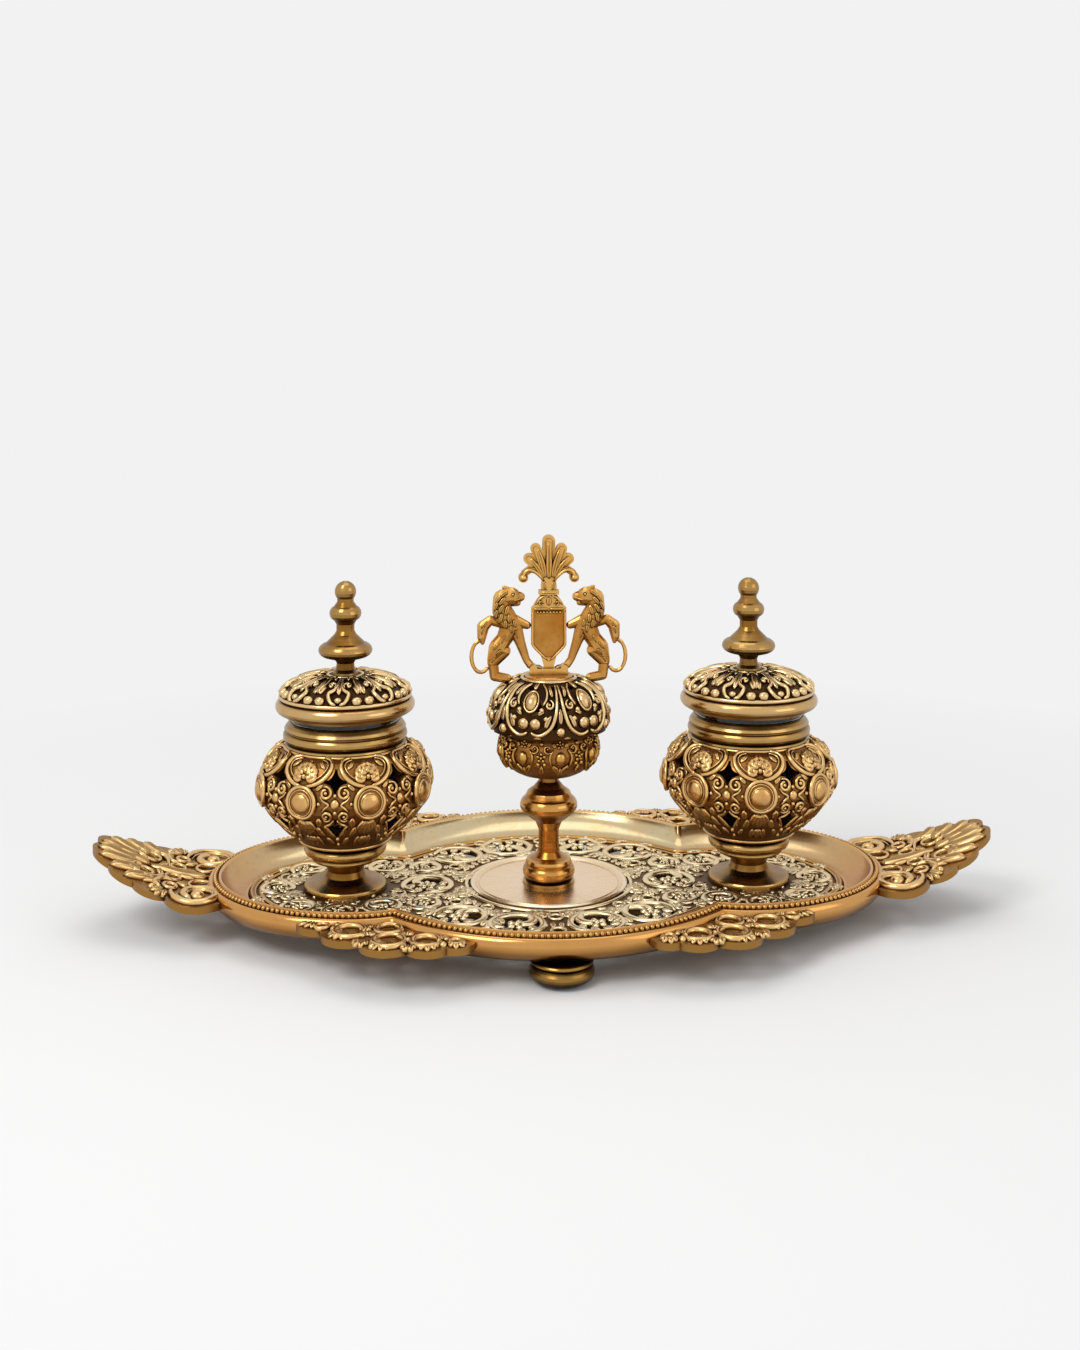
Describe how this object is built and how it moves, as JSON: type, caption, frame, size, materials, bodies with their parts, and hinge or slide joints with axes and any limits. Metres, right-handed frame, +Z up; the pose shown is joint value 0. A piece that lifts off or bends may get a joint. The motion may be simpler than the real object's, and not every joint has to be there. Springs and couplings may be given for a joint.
{
  "type": "desk inkstand",
  "caption": "Footed three lobed gilt brass desk inkstand: two lidded pierced inkpots on a fretted tray with a small stemmed cup under an openwork crested cover.",
  "frame": {"origin": "middle of the rest plane under the feet, on the axis of the stem", "axes": "+X along the tray towards the right inkpot, -Y to the front, +Z up"},
  "size_m": [0.36, 0.165, 0.1527],
  "materials": {
    "tray_brass": "polished gilt brass, pale and warm, worn on the edges",
    "scroll_brass": "cast gilt brass with dark patina in the recesses",
    "turned_bronze": "turned bronze, gilt, darkened in the grooves",
    "pierced_bronze": "chased and pierced gilt bronze with dark recesses",
    "crest_brass": "matte cast gilt brass",
    "iron": "blackened steel rod and studs",
    "ink_glass": "clear pressed glass liner"
  },
  "bodies": {
    "stand": {"tray_rim": "tray_brass", "rim_beading": "tray_brass", "floor_fret": "tray_brass", "floor_moulding": "tray_brass", "medallion": "tray_brass", "left_wing": "scroll_brass", "right_wing": "scroll_brass", "front_left_bracket": "scroll_brass", "front_right_bracket": "scroll_brass", "back_left_bracket": "scroll_brass", "back_right_bracket": "scroll_brass", "front_foot": "turned_bronze", "back_foot": "turned_bronze", "left_foot": "turned_bronze", "right_foot": "turned_bronze", "left_pot_stud": "iron", "left_pot_stand": "turned_bronze", "left_pot_body": "pierced_bronze", "left_pot_collar": "turned_bronze", "right_pot_stud": "iron", "right_pot_stand": "turned_bronze", "right_pot_body": "pierced_bronze", "right_pot_collar": "turned_bronze", "stem_rod": "iron", "stem_nut": "iron", "stem": "turned_bronze", "cup": "turned_bronze"},
    "left_liner": {"left_pot_liner": "ink_glass"},
    "left_lid": {"left_lid_rim": "turned_bronze", "left_lid_dome": "pierced_bronze", "left_lid_finial": "turned_bronze"},
    "right_liner": {"right_pot_liner": "ink_glass"},
    "right_lid": {"right_lid_rim": "turned_bronze", "right_lid_dome": "pierced_bronze", "right_lid_finial": "turned_bronze"},
    "crested_cover": {"cover_seat": "turned_bronze", "cover": "pierced_bronze", "cover_cap": "crest_brass", "shield": "crest_brass", "ribbon": "crest_brass", "palmette": "crest_brass", "left_lion": "crest_brass", "right_lion": "crest_brass"}
  },
  "joints": [
    {"name": "left_liner_lift", "type": "slide", "parent": "stand", "child": "left_liner", "axis": [0, 0, 1], "range_m": [0, 0.045]},
    {"name": "left_lid_lift", "type": "slide", "parent": "left_liner", "child": "left_lid", "axis": [0, 0, 1], "range_m": [0, 0.045]},
    {"name": "right_liner_lift", "type": "slide", "parent": "stand", "child": "right_liner", "axis": [0, 0, 1], "range_m": [0, 0.045]},
    {"name": "right_lid_lift", "type": "slide", "parent": "right_liner", "child": "right_lid", "axis": [0, 0, 1], "range_m": [0, 0.045]},
    {"name": "cover_lift", "type": "slide", "parent": "stand", "child": "crested_cover", "axis": [0, 0, 1], "range_m": [0, 0.06]}
  ]
}
